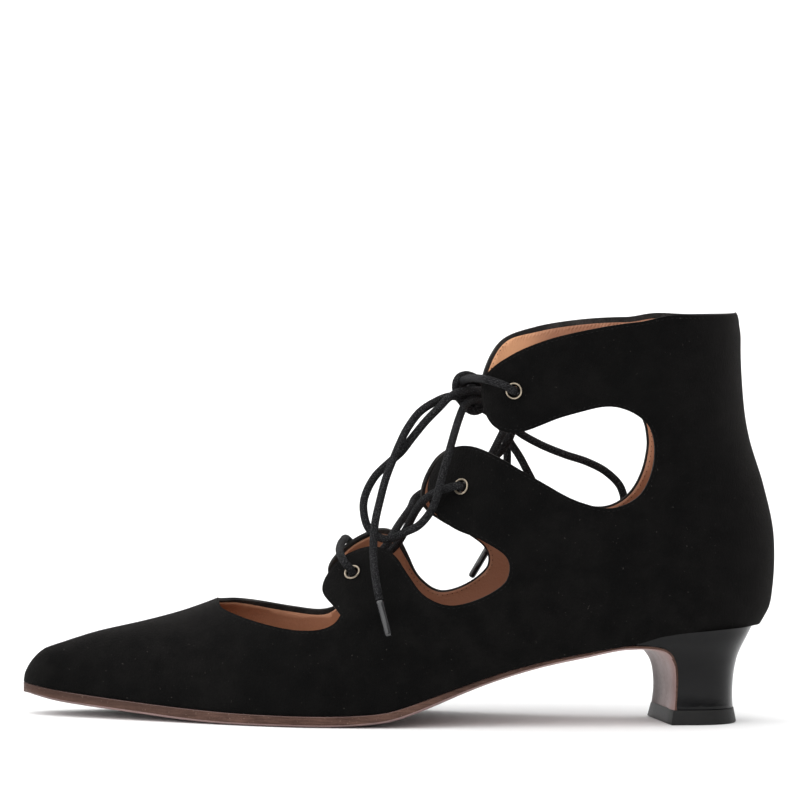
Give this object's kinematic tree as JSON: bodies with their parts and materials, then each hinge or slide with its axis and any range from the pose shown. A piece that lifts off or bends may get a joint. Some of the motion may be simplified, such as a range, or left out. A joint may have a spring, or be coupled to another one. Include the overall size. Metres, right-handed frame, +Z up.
{
  "type": "heeled lace-up shoe",
  "caption": "Left pointed-toe suede shoe with a low curved heel, ankle-high collar, open scalloped lacing tabs and a round lace tied in a bow.",
  "frame": {"origin": "on the floor under the middle of the shoe's box, without its bow", "axes": "+X from the toe to the heel, +Y to the inner (medial) side, +Z up"},
  "size_m": [0.2654, 0.0804, 0.145],
  "materials": {
    "suede": "matt black suede with a fine nap",
    "sole_leather": "reddish brown stained sole leather, satin",
    "heel_lacquer": "glossy black lacquer",
    "lift_rubber": "matt black",
    "lining_leather": "smooth tan lining leather",
    "eyelet_brass": "aged brass",
    "lace_cord": "black waxed round braid",
    "aglet_plastic": "glossy black"
  },
  "bodies": {
    "root": {"upper": "suede", "outsole": "sole_leather", "heel": "heel_lacquer", "top_lift": "lift_rubber", "insole": "lining_leather", "eyelet_lateral_1": "eyelet_brass", "eyelet_lateral_2": "eyelet_brass", "eyelet_lateral_3": "eyelet_brass", "eyelet_medial_1": "eyelet_brass", "eyelet_medial_2": "eyelet_brass", "eyelet_medial_3": "eyelet_brass", "lace_bar": "lace_cord", "lace_cross_low": "lace_cord", "lace_cross_high": "lace_cord", "lace_tie_lateral": "lace_cord", "lace_tie_medial": "lace_cord", "lace_knot": "lace_cord", "lace_loop_lateral": "lace_cord", "lace_loop_medial": "lace_cord", "lace_end_lateral": "lace_cord", "lace_end_medial": "lace_cord", "aglet_lateral": "aglet_plastic", "aglet_medial": "aglet_plastic"}
  },
  "joints": []
}
